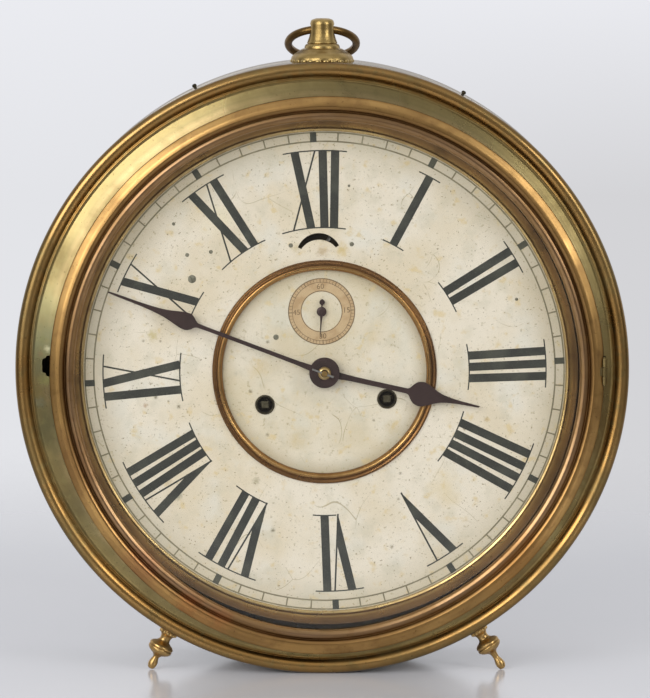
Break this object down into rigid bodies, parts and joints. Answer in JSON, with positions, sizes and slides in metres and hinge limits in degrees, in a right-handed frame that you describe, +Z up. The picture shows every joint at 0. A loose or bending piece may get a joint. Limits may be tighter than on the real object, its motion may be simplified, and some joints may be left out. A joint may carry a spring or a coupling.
{
  "type": "round lever clock",
  "caption": "Round spring-driven clock in a drum case: hinged glazed door, painted dial with Roman numerals, hands, geared movement, hanging ring and turned feet.",
  "frame": {"origin": "on the surface the clock stands on, under the middle of its bounding box", "axes": "+Z up and the longest extent, -Y out of the dial towards the viewer, +Y towards the rear plate and the shortest extent, +X to the viewer's right"},
  "size_m": [0.3746, 0.1052, 0.4008],
  "materials": {
    "olive_brass": "polished brass under a thin olive tarnish",
    "copper_brass": "polished, copper-coloured with brown tarnish",
    "gilt": "lacquered brass, worn",
    "brass": "satin, darkened in the hollows",
    "nickel": "pale nickel plate, dulled",
    "steel": "bright steel",
    "spring_steel": "tempered blue-grey",
    "blackened_steel": "blued steel gone purple-brown",
    "dial_paint": "cream paint, matt, stained",
    "aged_paper": "aged paper with printed graduations",
    "glass": "flat clear window glass"
  },
  "bodies": {
    "case": {"front_rim": "olive_brass", "drum": "nickel", "rear_plate": "nickel", "hinge_leaf": "brass", "hinge_pin": "steel", "pendant_base": "brass", "pendant_neck": "brass", "foot_left": "brass", "foot_right": "brass", "dial_surround": "gilt", "dial_plate": "dial_paint", "centre_ring": "gilt", "centre_plate": "dial_paint", "seconds_ring": "aged_paper", "winding_grommet_left": "blackened_steel", "winding_grommet_right": "blackened_steel", "front_plate": "brass", "back_plate": "brass", "pillar_1": "steel", "pillar_2": "steel", "pillar_3": "steel", "pillar_4": "steel", "dial_foot_1": "steel", "dial_foot_2": "steel", "dial_foot_3": "steel", "dial_foot_4": "steel", "mounting_bar_upper": "steel", "mounting_bar_lower": "steel", "mainspring_left": "spring_steel", "mainspring_right": "spring_steel", "hairspring": "spring_steel", "balance_cock": "brass"},
    "door": {"door_bezel": "copper_brass", "door_glass": "glass", "door_catch": "steel"},
    "bow": {"bow": "brass"},
    "centre": {"centre_wheel": "brass", "cannon_pinion": "steel", "minute_hand": "blackened_steel", "hand_collet": "brass", "taper_pin": "steel"},
    "hour": {"hour_wheel": "brass", "hour_hand": "blackened_steel"},
    "motion_work": {"minute_wheel": "brass"},
    "intermediate": {"intermediate_wheel": "brass"},
    "great_left": {"great_wheel_left": "brass"},
    "great_right": {"great_wheel_right": "brass"},
    "winding_left": {"winding_arbor_left": "steel"},
    "winding_right": {"winding_arbor_right": "steel"},
    "ratchet_click_left": {"click_left": "steel"},
    "ratchet_click_right": {"click_right": "steel"},
    "third": {"third_wheel": "brass"},
    "seconds": {"fourth_wheel": "brass", "seconds_hand": "blackened_steel"},
    "escape": {"escape_wheel": "brass"},
    "lever": {"pallet_lever": "steel"},
    "balance_wheel": {"balance": "brass"},
    "rate_regulator": {"regulator": "steel"}
  },
  "joints": [
    {"name": "minute_turn", "type": "hinge", "parent": "case", "child": "centre", "pos_m": [0.0014, -0.03, 0.1845], "axis": [0, 1, 0], "continuous": true},
    {"name": "hour_turn", "type": "hinge", "parent": "case", "child": "hour", "pos_m": [0.0014, -0.03, 0.1845], "axis": [0, 1, 0], "continuous": true},
    {"name": "motion_work_turn", "type": "hinge", "parent": "case", "child": "motion_work", "pos_m": [-0.01205, -0.02, 0.1697], "axis": [0, 1, 0], "continuous": true},
    {"name": "third_turn", "type": "hinge", "parent": "case", "child": "third", "pos_m": [0.01693, 0, 0.20659], "axis": [0, 1, 0], "continuous": true},
    {"name": "seconds_turn", "type": "hinge", "parent": "case", "child": "seconds", "pos_m": [-0.00038, 0, 0.22166], "axis": [0, 1, 0], "continuous": true},
    {"name": "escape_turn", "type": "hinge", "parent": "case", "child": "escape", "pos_m": [-0.01895, 0, 0.2327], "axis": [0, 1, 0], "continuous": true},
    {"name": "intermediate_turn", "type": "hinge", "parent": "case", "child": "intermediate", "pos_m": [0.00301, 0, 0.15094], "axis": [0, 1, 0], "continuous": true},
    {"name": "great_left_turn", "type": "hinge", "parent": "case", "child": "great_left", "pos_m": [-0.03516, 0, 0.16412], "axis": [0, 1, 0], "continuous": true},
    {"name": "great_right_turn", "type": "hinge", "parent": "case", "child": "great_right", "pos_m": [0.03975, 0, 0.16772], "axis": [0, 1, 0], "continuous": true},
    {"name": "winding_left_turn", "type": "hinge", "parent": "great_left", "child": "winding_left", "pos_m": [-0.03516, 0, 0.16412], "axis": [0, 1, 0], "continuous": true},
    {"name": "winding_right_turn", "type": "hinge", "parent": "great_right", "child": "winding_right", "pos_m": [0.03975, 0, 0.16772], "axis": [0, 1, 0], "continuous": true},
    {"name": "click_left_lift", "type": "hinge", "parent": "great_left", "child": "ratchet_click_left", "pos_m": [-0.03598, -0.0035, 0.1811], "axis": [0, 1, 0], "range_deg": [0, 18]},
    {"name": "click_right_lift", "type": "hinge", "parent": "great_right", "child": "ratchet_click_right", "pos_m": [0.03893, -0.0035, 0.1847], "axis": [0, 1, 0], "range_deg": [0, 18]},
    {"name": "lever_rock", "type": "hinge", "parent": "case", "child": "lever", "pos_m": [-0.01254, 0, 0.24089], "axis": [0, 1, 0], "range_deg": [-5, 5]},
    {"name": "balance_swing", "type": "hinge", "parent": "case", "child": "balance_wheel", "pos_m": [-0.00196, 0, 0.25442], "axis": [0, 1, 0], "range_deg": [-135, 135]},
    {"name": "regulator_shift", "type": "hinge", "parent": "case", "child": "rate_regulator", "pos_m": [-0.00196, 0, 0.25442], "axis": [0, 1, 0], "range_deg": [-84, 22]},
    {"name": "door_swing", "type": "hinge", "parent": "case", "child": "door", "pos_m": [0.1719, -0.0502, 0.1868], "axis": [0, 0, 1], "range_deg": [0, 120]},
    {"name": "bow_swing", "type": "hinge", "parent": "case", "child": "bow", "pos_m": [0, -0.0195, 0.3938], "axis": [1, 0, 0], "range_deg": [0, 240]}
  ],
  "couplings": [
    {"joint": "hour_turn", "follows": "minute_turn", "ratio": 0.083333},
    {"joint": "motion_work_turn", "follows": "minute_turn", "ratio": -0.33333},
    {"joint": "third_turn", "follows": "minute_turn", "ratio": -8},
    {"joint": "seconds_turn", "follows": "minute_turn", "ratio": 60},
    {"joint": "escape_turn", "follows": "minute_turn", "ratio": -480},
    {"joint": "intermediate_turn", "follows": "minute_turn", "ratio": -0.2},
    {"joint": "great_left_turn", "follows": "minute_turn", "ratio": 0.033333},
    {"joint": "great_right_turn", "follows": "minute_turn", "ratio": 0.033333}
  ]
}
